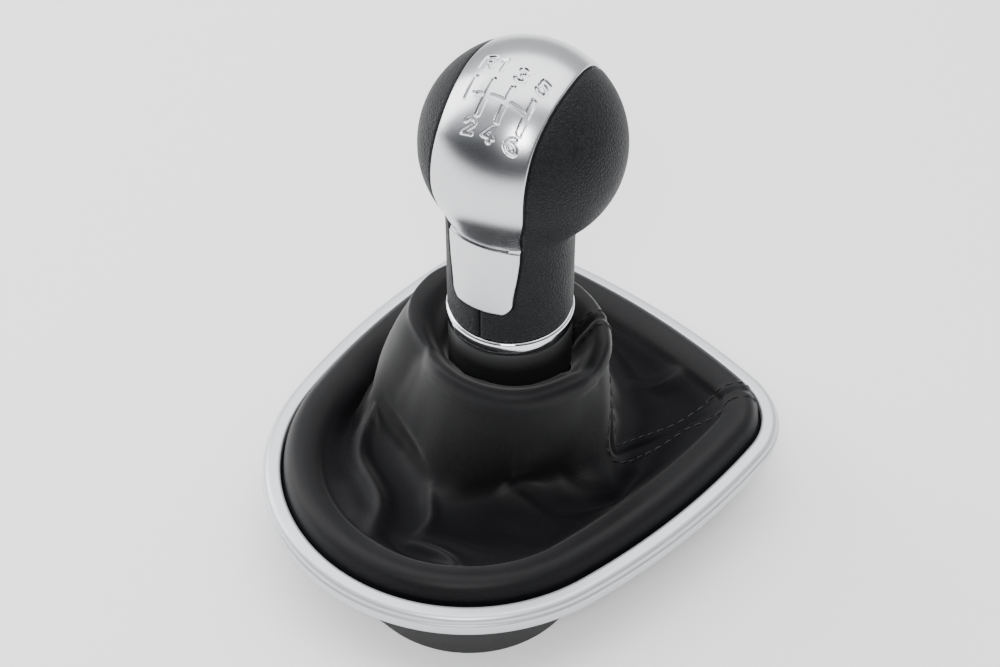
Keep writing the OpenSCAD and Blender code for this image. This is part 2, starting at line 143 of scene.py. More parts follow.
def fromSegment(p, start, stop):
    # for each point the share of the segment at which its nearest place lies, and the distance to it
    v = stop - start
    k = np.clip(((p - start) @ v) / max(float(v @ v), 1e-9), 0, 1)
    return k, sizeOf(p - start - k[..., None] * v)


def nearLines(p, lines):
    # least distance from each point to any segment of the lines
    best = np.full(p.shape[:-1], 1e9)
    for line in lines:
        line = np.asarray(line, float)
        for start, stop in zip(line[:-1], line[1:]):
            best = np.minimum(best, fromSegment(p, start, stop)[1])
    return best


def facingOut(points, quads):
    # faces of a closed shape turned outwards: the volume under its faces has to come out above nothing
    a, b, c, d = (points[quads[:, k]] for k in range(4))
    volume = np.sum(a * np.cross(b, c)) + np.sum(a * np.cross(c, d))
    return quads if volume > 0 else quads[:, ::-1]


def addPiece(name, points, quads, material, body=None, sharpAngle=35, normals=None):
    points = points.reshape(-1, 3)
    quads = facingOut(points, quads)
    mesh = bpy.data.meshes.new(name)
    mesh.vertices.add(len(points))
    mesh.vertices.foreach_set("co", (points * mm).astype(np.float32).ravel())
    mesh.loops.add(quads.size)
    mesh.loops.foreach_set("vertex_index", quads.astype(np.int32).ravel())
    mesh.polygons.add(len(quads))
    mesh.polygons.foreach_set("loop_start", np.arange(0, quads.size, quads.shape[1], dtype=np.int32))
    mesh.polygons.foreach_set("use_smooth", np.ones(len(quads), bool))
    mesh.update(calc_edges=True)
    mesh.validate()
    mesh.set_sharp_from_angle(angle=math.radians(sharpAngle))
    if normals is not None:
        mesh.normals_split_custom_set_from_vertices(normals.tolist())
    piece = bpy.data.objects.new(name, mesh)
    bpy.context.scene.collection.objects.link(piece)
    mesh.materials.append(material)
    if body:
        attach(piece, body)
    print("  made", name, len(quads), "quads")
    return piece


def onKnob(p):
    # from the knob's own frame, with z = 0 in the middle of the chrome ring, to the part's
    c, s = math.cos(math.radians(place["knobTurn"])), math.sin(math.radians(place["knobTurn"]))
    x, y, z = p[..., 0], p[..., 1], p[..., 2]
    return pack(c * x - s * y, s * x + c * y + place["leverY"], z + place["ringZ"])


def lathe(section, columns):
    # a closed section of [radius, height] carried round the vertical axis
    a = np.linspace(0, 2 * np.pi, columns, endpoint=False)
    r, z = section[:, :1], section[:, 1:]
    p = pack(r * np.cos(a), r * np.sin(a), z)
    return p.reshape(-1, 3), gridQuads(len(section), columns, True, True)


def toLinear(code):
    # sRGB hex to the linear colour that the shaders work in
    c = np.array([int(code[i : i + 2], 16) for i in (1, 3, 5)]) / 255
    return (*np.where(c <= 0.04045, c / 12.92, ((c + 0.055) / 1.055) ** 2.4), 1.0)


def addNode(material, kind, inputs=None, stops=(), **settings):
    # one shader node with its settings, with values or links on its inputs, and a ramp's (place, hex colour) stops
    node = material.node_tree.nodes.new("ShaderNode" + kind)
    for key, value in settings.items():
        setattr(node, key, value)
    for k, (at, code) in enumerate(stops):
        element = node.color_ramp.elements[k] if k < 2 else node.color_ramp.elements.new(1.0)
        element.position, element.color = at, toLinear(code)
    for key, value in (inputs or {}).items():
        if isinstance(value, bpy.types.NodeSocket):
            material.node_tree.links.new(value, node.inputs[key])
        else:
            node.inputs[key].default_value = value
    return node


def newMaterial(name, **shader):
    material = bpy.data.materials.new(name)
    material.use_nodes = True
    surface = material.node_tree.nodes["Principled BSDF"]
    for key, value in shader.items():
        socket = surface.inputs[key.replace("_", " ")]
        socket.default_value = toLinear(value) if isinstance(value, str) else value
    return material, surface, functools.partial(addNode, material)


def feed(shader, **outputs):
    # links other nodes' outputs to the shader's own sockets
    for key, output in outputs.items():
        shader.id_data.links.new(output, shader.inputs[key.replace("_", " ")])


# Noise lies mostly between these two values, so a range is stretched from them
noiseRange = {"From Min": 0.3, "From Max": 0.7}


def leatherMaterial(name, **look):
    # embossed leather: pebbles of a size in mm with narrow valleys, under a finish coat that softens them;
    # between two heights its specular and sheen fall towards the bottom of the well: painted shade for the shade in the
    # folds
    material, surface, add = newMaterial(name, Sheen_Roughness=0.45)
    where = add("TexCoord").outputs["Object"]
    level = add("SeparateXYZ", {"Vector": where}).outputs["Z"]
    wellFoot, wellTop = 22.5 * mm, 27.5 * mm
    # painted shade: below wellTop the specular and sheen sink to a share of their full value, darkening the well
    for socket, most in {"Specular_IOR_Level": look["specular"], "Sheen_Weight": look["nap"]}.items():
        span = {"From Min": wellFoot, "From Max": wellTop, "To Min": look["dull"] * most, "To Max": most}
        shadeInWell = add("MapRange", {"Value": level, **span}, interpolation_type="SMOOTHSTEP")
        feed(surface, **{socket: shadeInWell.outputs["Result"]})
    perPebble = 1 / (look["pebble"] * mm)
    warp = add("TexNoise", {"Vector": where, "Scale": 0.35 * perPebble, "Detail": 2.0}).outputs["Color"]
    bent = add("VectorMath", {0: warp, 1: (look["bend"] * mm,) * 3, 2: where}, operation="MULTIPLY_ADD")
    pebbles = {"Vector": bent.outputs[0], "Scale": perPebble, "Randomness": 1.0}
    cells = add("TexVoronoi", pebbles, feature="DISTANCE_TO_EDGE").outputs["Distance"]
    dome = add("MapRange", {"Value": cells, "From Max": 0.32}, interpolation_type="SMOOTHERSTEP").outputs["Result"]
    fine = {"Vector": where, "Scale": 2.2 * perPebble, "Detail": 3.0, "Roughness": 0.6}
    pores = add("TexNoise", fine).outputs["Fac"]
    height = add("Math", {0: pores, 1: look["pores"], 2: dome}, operation="MULTIPLY_ADD").outputs[0]
    tone = add("TexNoise", {"Vector": where, "Scale": 1 / (18 * mm), "Detail": 3.0}).outputs["Fac"]
    mottle = add("Math", {0: dome, 1: 0.25, 2: tone}, operation="MULTIPLY_ADD").outputs[0]
    colour = add("ValToRGB", {"Fac": mottle}, stops=look["colours"])
    bump = add("Bump", {"Strength": look["strength"], "Distance": look["depth"] * mm, "Height": height})
    gloss = {"To Min": look["roughness"] - 0.05, "To Max": look["roughness"] + 0.05}
    shine = add("MapRange", {"Value": tone, **noiseRange, **gloss})
    feed(surface, Base_Color=colour.outputs["Color"], Normal=bump.outputs["Normal"], Roughness=shine.outputs["Result"])
    return material


def metalMaterial(name, **look):
    # plated metal: its sheen wanders a little, and fine blasting gives it a pearl
    material, surface, add = newMaterial(name, Base_Color=look["colour"], Metallic=look["metallic"], Roughness=look["roughness"])
    where = add("TexCoord").outputs["Object"]
    cloud = add("TexNoise", {"Vector": where, "Scale": 1 / (look["cloud"] * mm), "Detail": 3.0}).outputs["Fac"]
    gloss = {"To Min": look["roughness"] * (1 - look["wander"]), "To Max": look["roughness"] * (1 + look["wander"])}
    shine = add("MapRange", {"Value": cloud, **noiseRange, **gloss})
    pearl = add("TexNoise", {"Vector": where, "Scale": 1 / (look["pearl"] * mm), "Detail": 2.0}).outputs["Fac"]
    bump = add("Bump", {"Strength": look["strength"], "Distance": 0.004 * mm, "Height": pearl})
    feed(surface, Normal=bump.outputs["Normal"], Roughness=shine.outputs["Result"])
    return material


def plasticMaterial(name, **look):
    # moulded plastic: a fine spark-eroded texture from the tool, and a slightly uneven gloss
    material, surface, add = newMaterial(name, Base_Color=look["colour"], Roughness=look["roughness"], IOR=look["ior"])
    where = add("TexCoord").outputs["Object"]
    grit = {"Vector": where, "Scale": 1 / (look["grit"] * mm), "Detail": 4.0, "Roughness": 0.65}
    erosion = add("TexNoise", grit).outputs["Fac"]
    bump = add("Bump", {"Strength": look["strength"], "Distance": 0.02 * mm, "Height": erosion})
    gloss = {"To Min": look["roughness"] - 0.06, "To Max": look["roughness"] + 0.06}
    shine = add("MapRange", {"Value": erosion, **noiseRange, **gloss})
    feed(surface, Normal=bump.outputs["Normal"], Roughness=shine.outputs["Result"])
    return material


# Coated split leather with an embossed pebble grain about 1 mm across: dull charcoal, with soft glints on the pebbles
grainedLeather = leatherMaterial(
    "embossed leather",
    pebble=1.0, bend=0.5, pores=0.25, strength=1.0, depth=0.13, roughness=0.52, specular=0.17, nap=0.02, dull=1,
    colours=[(0.35, "#151618"), (0.9, "#1f2023")]
)
# Smooth corrected leather, 1.3 mm thick: deep black with a broad soft sheen and barely any grain
# deep in the well its specular and sheen drop to a fifth: painted shade
smoothLeather = leatherMaterial(
    "smooth gaiter leather",
    pebble=0.7, bend=0.4, pores=0.5, strength=0.25, depth=0.05, roughness=0.5, specular=0.19, nap=0.14, dull=0.2,
    colours=[(0.3, "#0d0d0f"), (0.9, "#131315")]
)
# Pearl chrome plating on a zinc casting: a soft, wide reflection without any brushing
satinChrome = metalMaterial(
    "satin chrome plate",
    colour="#d2d3d6", metallic=1.0, roughness=0.25, wander=0.05, cloud=9.0, pearl=0.5, strength=0.03
)
# Polished chrome plating: a clear mirror
brightChrome = metalMaterial(
    "bright chrome plate",
    colour="#e6e7ea", metallic=1.0, roughness=0.06, wander=0.1, cloud=6.0, pearl=0.5, strength=0.1
)
# Silver lacquer with fine metal flakes on ABS: light and even, half way between paint and metal
silverLacquer = metalMaterial(
    "silver lacquer on ABS",
    colour="#d4d6d9", metallic=0.55, roughness=0.36, wander=0.06, cloud=12.0, pearl=0.3, strength=0.3
)
# Rolled stainless steel band: grey, with a dull sheen
rolledSteel = metalMaterial(
    "rolled stainless steel",
    colour="#a9aaac", metallic=1.0, roughness=0.34, wander=0.15, cloud=3.0, pearl=0.4, strength=0.4
)
# Black ABS, spark-eroded grain of about 0.3 mm: dull, slightly grey where it catches the light
blackAbs = plasticMaterial(
    "moulded black ABS",
    colour="#121214", roughness=0.52, ior=1.53, grit=0.3, strength=0.5
)
# Glass-filled nylon: greyer and coarser than the ABS
filledNylon = plasticMaterial(
    "glass-filled nylon",
    colour="#1d1e20", roughness=0.55, ior=1.53, grit=0.45, strength=0.8
)
# Bonded polyester thread, 0.4 mm thick, twisted: black with a faint sheen along the twist
threadLook = {"colour": "#101012", "roughness": 0.5, "twist": 0.9, "strength": 0.6, "depth": 0.08}
thread, surface, add = newMaterial("bonded polyester thread", Base_Color=threadLook["colour"], Roughness=threadLook["roughness"])
twist = {"Vector": add("TexCoord").outputs["Object"], "Scale": 0.5 / (threadLook["twist"] * mm), "Distortion": 1.0}
wave = add("TexWave", twist, bands_direction="DIAGONAL").outputs["Fac"]
bump = add("Bump", {"Strength": threadLook["strength"], "Distance": threadLook["depth"] * mm, "Height": wave})
feed(surface, Normal=bump.outputs["Normal"])
# Pale matt acrylic table, lit a little from below, that the part stands on
floorMaterial = newMaterial(
    "pale acrylic table", Base_Color="#f6f6f6", Roughness=0.8, Emission_Color="#ffffff", Emission_Strength=0.35
)[0]
print("materials made")

# The head, the neck and the metal strip, in mm in the knob's frame
knob = {
    "radius": 26.1,
    "centre": np.array([0.0, 6.0, 51.2]),
    "fuller": 0.004,  # how much the upper half is fuller than a ball, as a share
    "neck": 16.4,
    "foot": 2.4,
    "crease": 1.1,  # softness of the inner corner between head and neck
}
ballC = knob["centre"]


def knobFace(d, grow=0.0, crease=knob["crease"]):
    # distance from the head's centre along d: the larger of the ball and the neck's cylinder, their corner eased
    ball = knob["radius"] * (1 + knob["fuller"] * np.clip(d[..., 2], 0, 1) ** 1.5) + grow
    cy = ballC[1]
    across = np.maximum(d[..., 0] ** 2 + d[..., 1] ** 2, 1e-9)
    half = cy * d[..., 1]
    wall = (-half + np.sqrt(half**2 - across * (cy**2 - (knob["neck"] + grow) ** 2))) / across
    wall = np.where(d[..., 2] < -0.05, wall, 0)
    gap = ball - wall
    return 0.5 * (ball + wall + np.where(wall > 0, np.sqrt(gap**2 + crease**2), np.abs(gap)))


def settle(p, grow=0.0, crease=knob["crease"]):
    # moves points near the knob on to its face, along the line from the head's centre
    d = unit(p - ballC)
    return ballC + d * knobFace(d, grow, crease)[..., None]


strip = {
    "low": 12.7,  # tongue's lowest edge
    "kink": 37.0,  # the crease on the strip's middle line
    "kinkAngle": -32.5,  # the same place as an angle over the head
    "endAngle": 196.0,
    "proud": 0.2,
    "thick": 1.5,
    "gap": 0.34,
    "lip": 33.9,  # the tongue's top edge, which stands out from under the head
    "lipEdge": 0.22,
    "step": 0.6,
    "under": 16,  # how far beyond the kink the head's underside can reach
    "crease": 0.45,  # softness of the inner corner under the metal
    "edge": 0.45,  # rounding of the metal's edge
    "lowCorner": 3.4,
    "endCorner": 7.5,
    # [place, half width]: places up to the kink are heights, and beyond it mm along the head
    "halfWidth": [
        [12, 8.6], [17, 8.65], [21, 9.05], [25, 9.55], [31, 10.05], [35, 10.1], [37, 10.15], [40, 10.6],
        [45, 11.6], [50, 12.5], [55, 12.85], [64, 12.8], [74, 12.6], [84, 12.8], [94, 12.9], [104, 12.2],
        [110, 11.6], [120, 11.0], [133, 10.2], [142, 9.8],
    ],
}
stripPitch = knob["radius"] * math.pi / 180
strip["end"] = strip["kink"] + (strip["endAngle"] - strip["kinkAngle"]) * stripPitch


def halfWidth(s):
    table = np.array(strip["halfWidth"], float)
    fine = throughPoints(table, np.linspace(0, len(table) - 1, 400))
    return np.interp(s, fine[:, 0], fine[:, 1])


def stripPlace(x, s):
    # a point of the strip: across by x, and along by s up the neck and then over the head in slices of equal x
    slice_ = np.sqrt(knob["radius"] ** 2 - x**2)
    wall = np.sqrt(knob["neck"] ** 2 - x**2)
    meet = np.degrees(np.arccos(np.clip((wall + ballC[1]) / slice_, -1, 1)))
    meetZ = ballC[2] - slice_ * np.sin(np.radians(meet))
    upNeck = strip["low"] + (s - strip["low"]) / (strip["kink"] - strip["low"]) * (meetZ - strip["low"])
    share = (s - strip["kink"]) / (strip["end"] - strip["kink"])
    angle = np.radians(-meet + share * (strip["endAngle"] + meet))
    onNeck = pack(x, -wall, upNeck)
    onHead = pack(x, ballC[1] - slice_ * np.cos(angle), ballC[2] + slice_ * np.sin(angle))
    return np.where((s < strip["kink"])[..., None], onNeck, onHead)


def stripOutline(grow, count):
    # right half of the strip's outline grown by a distance, from the middle of the tongue's end to that of the front end
    low, end, r1, r2 = strip["low"], strip["end"], strip["lowCorner"], strip["endCorner"]
    turn = np.radians(np.linspace(0, 90, 12))
    w1, w2 = float(halfWidth(low + r1)), float(halfWidth(end - r2))
    side = np.linspace(low + r1, end - r2, 160)
    parts = [
        np.array([[0.12, low - grow]]),
        pack(w1 - r1 + (r1 + grow) * np.sin(turn), low + r1 - (r1 + grow) * np.cos(turn)),
        pack(halfWidth(side) + grow, side)[1:-1],
        pack(w2 - r2 + (r2 + grow) * np.cos(turn), end - r2 + (r2 + grow) * np.sin(turn)),
        np.array([[0.12, end + grow]]),
    ]
    return evenly(np.concatenate(parts), count)


# The shift pattern, pressed into the strip: places are [mm across, degrees over the head]
pattern = {
    "gate": 59.2,
    "line": 1.3,
    "depth": 0.5,
    "bevel": 0.34,
    "lanes": [[-2.8, 68.8, 48.2], [2.6, 68.0, 48.0], [8.3, 68.0, 48.6], [-7.6, 69.8, 57]],
    "bars": [[-2.8, 8.3], [-7.6, -6.3], [-5.1, -4.2]],
    "digitHeight": 3.7,
    "digitWidth": 2.6,
    "stroke": 0.9,
    "digits": [
        ["R", -6.6, 80.6], ["1", -2.8, 79.6], ["3", 2.8, 77.0], ["5", 8.6, 77.9],
        ["2", -3.8, 41.6], ["4", 1.7, 40.4], ["6", 7.6, 41.0],
    ],
}


def bow(cx, cy, rx, ry, start, stop, count=14):
    # an arc of an ellipse as points
    a = np.radians(np.linspace(start, stop, count))
    return pack(cx + rx * np.cos(a), cy + ry * np.sin(a))


# Strokes of each sign in a box one high and one wide
signStrokes = {
    "R": [[[0, 0], [0, 1], [0.5, 1]], bow(0.5, 0.74, 0.42, 0.26, 90, -90), [[0.5, 0.48], [0, 0.48]], [[0.45, 0.48], [0.95, 0]]],
    "1": [[[0.2, 0.78], [0.58, 1], [0.58, 0]]],
    "2": [np.concatenate([bow(0.5, 0.7, 0.46, 0.3, 165, -30), [[0.02, 0.0], [0.98, 0.0]]])],
    "3": [bow(0.45, 0.755, 0.42, 0.245, 150, -90), bow(0.45, 0.255, 0.5, 0.255, 90, -150)],
    "4": [[[0.7, 0], [0.7, 1], [0, 0.3], [1, 0.3]]],
    "5": [np.concatenate([[[0.9, 1], [0.18, 1], [0.1, 0.52]], bow(0.45, 0.33, 0.5, 0.33, 125, -150)])],
    "6": [bow(0.5, 0.31, 0.47, 0.31, 0, 360, 24), bow(0.95, 0.36, 0.92, 0.66, 180, 108)],
}


def patternDepth(x, s):
    # depth of the pressed lines: flat at the bottom, with bevelled walls
    angle = strip["kinkAngle"] + (s - strip["kink"]) / stripPitch
    q = pack(x, (angle - pattern["gate"]) * stripPitch)
    up = lambda deg: (deg - pattern["gate"]) * stripPitch
    lines = [[[lx, up(top)], [lx, up(foot)]] for lx, top, foot in pattern["lanes"]]
    lines += [[[x0, 0], [x1, 0]] for x0, x1 in pattern["bars"]]
    size = np.array([pattern["digitWidth"], pattern["digitHeight"]])
    signs = []
    for sign, dx, deg in pattern["digits"]:
        signs += [np.asarray(k, float) * size - size / 2 + [dx, up(deg)] for k in signStrokes[sign]]
    wall = lambda d, width: smoothStep((width / 2 + pattern["bevel"] / 2 - d) / pattern["bevel"])
    pressed = wall(nearLines(q, lines), pattern["line"]), wall(nearLines(q, signs), pattern["stroke"])
    return pattern["depth"] * np.maximum(*pressed)


def edgeDrop(distance, radius):
    # how far a rounded edge lies under the face at a distance from the edge
    inside = np.clip(radius - distance, 0, radius)
    return radius - np.sqrt(radius**2 - inside**2)


def underHead(face, s):
    # above the tongue's top edge the head goes on in a straight line, tangent to its slice, to a point behind that edge
    x, y, z = face[..., 0], face[..., 1] - ballC[1], face[..., 2] - ballC[2]
    footY = ballC[1] + np.sqrt(knob["neck"] ** 2 - x**2) - strip["step"]
    footZ = strip["lip"] - ballC[2]
    slice_ = np.sqrt((knob["radius"] + strip["proud"]) ** 2 - x**2)
    low, here = np.arctan2(footZ, footY), np.arctan2(z, -y)
    tangent = low + np.arccos(np.clip(slice_ / np.hypot(footY, footZ), -1, 1))
    reach = slice_ / np.cos(here - tangent)
    line = pack(x, ballC[1] - reach * np.cos(here), ballC[2] + reach * np.sin(here))
    under = (s > strip["lip"] + 0.01) & (s < strip["kink"] + strip["under"]) & (here < tangent)
    return np.where(under[..., None], line, face)


def makeStrip():
    edges = np.array([0, 0.03, 0.08, 0.15, 0.25, 0.36, 0.48, 0.8])
    angleAt = lambda deg: strip["kink"] + (deg - strip["kinkAngle"]) * stripPitch
    s = np.concatenate([
        strip["low"] + edges,
        np.linspace(strip["low"] + 1.2, strip["lip"] - 0.5, 36),
        strip["lip"] + np.array([-0.35, -0.22, -0.12, -0.05, 0, 0.02, 0.06, 0.14, 0.3, 0.5, 0.75]),
        np.linspace(strip["lip"] + 1.05, strip["kink"] + 3.2, 30),
        np.linspace(strip["kink"] + 3.6, angleAt(31.5), 40),
        np.arange(angleAt(32), angleAt(89), 0.17),
        np.linspace(angleAt(90), strip["end"] - 1.2, 60),
        strip["end"] - edges[::-1],
    ])
    corner = lambda gap, r: r - np.sqrt(np.clip(r**2 - np.clip(r - gap, 0, r) ** 2, 0, None))
    w = halfWidth(s) - corner(s - strip["low"], strip["lowCorner"]) - corner(strip["end"] - s, strip["endCorner"])
    across = np.linspace(-1, 1, 125)
    w = w[:, None]
    x = np.concatenate([-w + edges, across[1:-1] * (w - edges[-1]), w - edges[::-1]], axis=1)
    sGrid = np.broadcast_to(s[:, None], x.shape)
    nearest = np.minimum(w - np.abs(x), np.minimum(sGrid - strip["low"], strip["end"] - sGrid))
    face = underHead(settle(stripPlace(x, sGrid), strip["proud"], strip["crease"]), sGrid)
    normals = gridNormals(face)
    toLip = np.where(sGrid > strip["lip"], strip["under"], strip["lip"] - sGrid)
    down = edgeDrop(nearest, strip["edge"]) + patternDepth(x, sGrid) + edgeDrop(toLip, strip["lipEdge"])
    outer = face - normals * down[..., None]
    inner = face - normals * strip["thick"]
    points, quads = shellOf(onKnob(outer), onKnob(inner))
    piece = addPiece("trim_strip_plate", points, quads, satinChrome, "knob", 50)
    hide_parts("trim_strip")


cover = {"thick": 1.1, "edge": 0.95, "footAngles": [-90, -55, -36, 90]}


def knobNormals(p):
    # normal of the knob's face at p: two short steps over the face, crossed
    d = unit(p - ballC)
    aside = unit(np.cross(d, [0.35, 0.5, 0.79]))
    steps = 0.003 * aside, 0.003 * np.cross(d, aside)
    return unit(np.cross(*(settle(ballC + d + k) - settle(ballC + d - k) for k in steps)))


def makeCover(side, name, node):
    # leather between the strip's outline and the neck's foot: directions turned evenly from one to the other
    count, rows = 250, 110
    outline = stripOutline(strip["gap"], count)
    top = settle(stripPlace(outline[:, 0], outline[:, 1]))
    u = np.linspace(0, 1, count)
    passes = lambda s: u[np.argmax(outline[:, 1] > s)]
    stops = [0, passes(strip["low"] + strip["lowCorner"]), passes(strip["kink"]), 1]
    foot = np.radians(np.interp(u, stops, cover["footAngles"]))
    low = pack(knob["neck"] * np.cos(foot), knob["neck"] * np.sin(foot), knob["foot"])
    low[:, 0] = np.maximum(low[:, 0], 0.12)
    a, b = unit(low - ballC), unit(top - ballC)
    ends = np.array([0, 0.0012, 0.003, 0.0055, 0.0085, 0.013])
    v = np.concatenate([ends, np.linspace(0.02, 0.98, rows - 12), 1 - ends[::-1]])
    v = np.interp(v, [0, 0.42, 1], [0, 0.21, 1])
    between = np.arccos(np.clip(np.sum(a * b, -1), -1, 1))[None, :, None]
    d = (np.sin((1 - v[:, None, None]) * between) * a + np.sin(v[:, None, None] * between) * b) / np.sin(between)
    face = settle(ballC + unit(d) * 20)
    normals = knobNormals(face)
    nearest = nearLines(face, [face[0], face[-1], face[:, 0], face[:, -1]])
    outer = face - normals * edgeDrop(nearest, cover["edge"])[..., None]
    inner = face - normals * cover["thick"]
    if side < 0:
        outer, inner = outer * [-1, 1, 1], inner * [-1, 1, 1]
    points, quads = shellOf(onKnob(outer), onKnob(inner))
    piece = addPiece(name, points, quads, grainedLeather, "knob", 60)
    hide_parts(node)


makeStrip()
makeCover(1, "right_cover_leather", "right_cover")
makeCover(-1, "left_cover_leather", "left_cover")

# Ring and collar, as sections of [radius, height, rounding] in the knob's frame. The tie lies in the collar's groove
neckFittings = {
    "ring": [[9.1, -2.3, 0.1], [16.8, -2.3, 1.4], [16.8, 2.3, 1.1], [9.1, 2.3, 0.1]],
    "collar": [[9.1, -23.4, 0.1], [16.4, -23.4, 0.4], [16.4, -22.3, 0.2], [15.8, -22.1, 0.2],
               [15.8, -18.3, 0.2], [16.4, -18.1, 0.2], [16.4, -2.4, 0.7], [9.1, -2.4, 0.1]],
}
points, quads = lathe(roundCorners(neckFittings["ring"], 9), 256)
piece = addPiece("chrome_ring_polished", onKnob(points), quads, brightChrome, "knob", 40)
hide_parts("chrome_ring")
points, quads = lathe(roundCorners(neckFittings["collar"], 6), 192)
piece = addPiece("gaiter_collar_moulding", onKnob(points), quads, blackAbs, "knob", 40)
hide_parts("gaiter_collar")
print("knob made")

# The frame's outline about the lever axis: front, corner, side and rear arcs, each tangent to the next
rim = {"front": 58.9, "rear": 67.8, "frontR": 217.0, "cornerR": 19.3, "cornerX": 35.1, "sideR": 204.0, "rearR": 51.3}
frontC = np.array([0, rim["front"] - rim["frontR"]])
rearC = np.array([0, rim["rearR"] - rim["rear"]])
cornerC = np.array([rim["cornerX"], frontC[1] + math.sqrt((rim["frontR"] - rim["cornerR"]) ** 2 - rim["cornerX"] ** 2)])
legA, legB = rim["sideR"] - rim["cornerR"], rim["sideR"] - rim["rearR"]
span = cornerC - rearC
spanL = float(np.linalg.norm(span))
spanU = span / spanL
alongSpan = (legB**2 - legA**2 + spanL**2) / (2 * spanL)
sideC = rearC + spanU * alongSpan + np.array([-spanU[1], spanU[0]]) * math.sqrt(legB**2 - alongSpan**2)
bearing = lambda v: math.atan2(v[1], v[0])
# centre and radius of each arc, and the direction from its centre at which it gives way to the next
arcs = [
    [frontC, rim["frontR"], bearing(cornerC - frontC)],
    [cornerC, rim["cornerR"], bearing(cornerC - sideC)],
    [sideC, rim["sideR"], bearing(rearC - sideC)],
    [rearC, rim["rearR"], None],
]


def rightward(a):
    # direction a (degrees) as a unit vector, with the left side folded on to the right
    return pack(np.abs(np.cos(np.radians(a))), np.sin(np.radians(a)))


def rimReach(a, grow):
    # distance from the lever axis to the outline in direction a (degrees), with the outline grown by a distance
    a, grow = np.broadcast_arrays(np.asarray(a, float), np.asarray(grow, float))
    u = rightward(a)
    b = np.arctan2(u[..., 1], u[..., 0])

    def out(centre, radius):
        k = u @ centre
        return k + np.sqrt(np.maximum(0, (radius + grow) ** 2 - centre @ centre + k * k))

    def ends(centre, radius, turn):
        p = centre + (radius + grow)[..., None] * np.array([math.cos(turn), math.sin(turn)])
        return np.arctan2(p[..., 1], p[..., 0])

    reach = [out(centre, radius) for centre, radius, turn in arcs]
    return np.select([b >= ends(*arc) for arc in arcs[:3]], reach[:3], reach[3])


def roundAxis(r, a, z):
    # points at distance r and height z in direction a about the lever axis, in the part's frame
    return pack(r * np.cos(np.radians(a)), r * np.sin(np.radians(a)) + place["leverY"], z)


around = np.linspace(0, 360, 480, endpoint=False)
# Section of the bezel: distance out from its inner edge, height from its top, and the corner's rounding
bezelSection = [
    [0.0, -2.6, 0.2], [0.0, -0.35, 0.6], [0.7, 0.0, 0.8], [3.1, -0.15, 1.0], [4.1, -0.8, 0.8], [4.5, -2.0, 0.35],
    [4.9, -2.35, 0.3], [5.1, -2.9, 0.5], [4.7, -5.4, 1.2], [4.35, -6.3, 0.4], [3.9, -6.4, 0.1], [3.8, -2.6, 0.2],
]
bezelLine = roundCorners(bezelSection, 6)
bezelPoints = roundAxis(rimReach(around, bezelLine[:, :1]), around, place["bezelTop"] + bezelLine[:, 1:])
piece = addPiece(
    "bezel_lacquered", bezelPoints, gridQuads(len(bezelLine), len(around), True, True),
    silverLacquer, "frame", 40,
)
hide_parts("bezel")

# Carrier under the bezel: skirt, flange and rim in one section, and the snap tabs
carrier = {
    "halfX": 43.4, "rear": 61.0, "front": 50.0, "corner": 31.0, "wall": 2.2,
    "flange": 18.5, "flangeFoot": 16.3, "rimTop": 20.4, "rimOut": 3.7, "rimIn": 2.3,
}


def skirtReach(a, grow):
    # distance from the lever axis to the skirt's rounded rectangle: the least of its straight sides and corner circles
    u = rightward(a)
    r = carrier["corner"] + grow
    x = carrier["halfX"] - carrier["corner"]
    yEnd = np.where(u[..., 1] > 0, carrier["front"] - carrier["corner"], carrier["rear"] - carrier["corner"])
    v = np.abs(u)
    toSide = (x + r) / np.maximum(v[..., 0], 1e-6)
    toEnd = (yEnd + r) / np.maximum(v[..., 1], 1e-6)
    k = v[..., 0] * x + v[..., 1] * yEnd
    toCorner = k + np.sqrt(np.maximum(0, r * r - (x * x + yEnd**2) + k * k))
    return np.where(toSide * v[..., 1] <= yEnd, toSide, np.where(toEnd * v[..., 0] <= x, toEnd, toCorner))


c = carrier
carrierRings = [
    [skirtReach(around, -c["wall"]), 0.0, 0.5], [skirtReach(around, -c["wall"]), c["flange"], 0.3],
    [rimReach(around, c["rimIn"]), c["flange"], 0.2], [rimReach(around, c["rimIn"]), c["rimTop"], 0.3],
    [rimReach(around, c["rimOut"]), c["rimTop"], 0.3], [rimReach(around, c["rimOut"]), c["flangeFoot"], 0.4],
    [skirtReach(around, 0.0), c["flangeFoot"], 0.5], [skirtReach(around, 0.0), 0.0, 0.7],
]
carrierLines = roundCorners(np.stack([pack(*ring) for ring in carrierRings], 1), 4)
carrierGrid = roundAxis(carrierLines[..., 0].T, around, carrierLines[..., 1].T)
carrierParts = [(carrierGrid.reshape(-1, 3), gridQuads(carrierGrid.shape[0], len(around), True, True))]
tab = {"height": 3.0, "width": 14.0, "rounding": 0.35, "sideY": (-13.0, 12.0)}
tab["section"] = [[-0.8, 0], [0.5, 0], [2.2, 4.2], [2.2, 5.5], [-0.8, 8.5]]
tabLine = roundCorners([[*k, tab["rounding"]] for k in tab["section"]], 4)
sideTabs = [[side * c["halfX"], y, 90 - 90 * side] for side in (1, -1) for y in tab["sideY"]]
for tx, ty, turn in [*sideTabs, [0, -c["rear"], -90], [0, c["front"], 90]]:
    across = tab["width"] / 2 * np.array([-1, -0.97, 0.97, 1])
    inset = np.array([0.86, 1, 1, 0.86])
    middle = tabLine.mean(0)
    outX = middle[0] + (tabLine[:, None, 0] - middle[0]) * inset
    outZ = middle[1] + (tabLine[:, None, 1] - middle[1]) * inset + tab["height"]
    ct, st = math.cos(math.radians(turn)), math.sin(math.radians(turn))
    grid = pack(tx + outX * ct - across * st, ty + outX * st + across * ct + place["leverY"], outZ)
    ends = [np.arange(len(tabLine)) * 4, np.arange(len(tabLine))[::-1] * 4 + 3]
    carrierParts.append((grid.reshape(-1, 3), np.concatenate([gridQuads(len(tabLine), 4, True, False), *map(capQuads, ends)])))
points, quads = joined(carrierParts)
piece = addPiece("carrier_moulding", points, quads, blackAbs, "frame", 40)
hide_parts("carrier")
print("frame made")

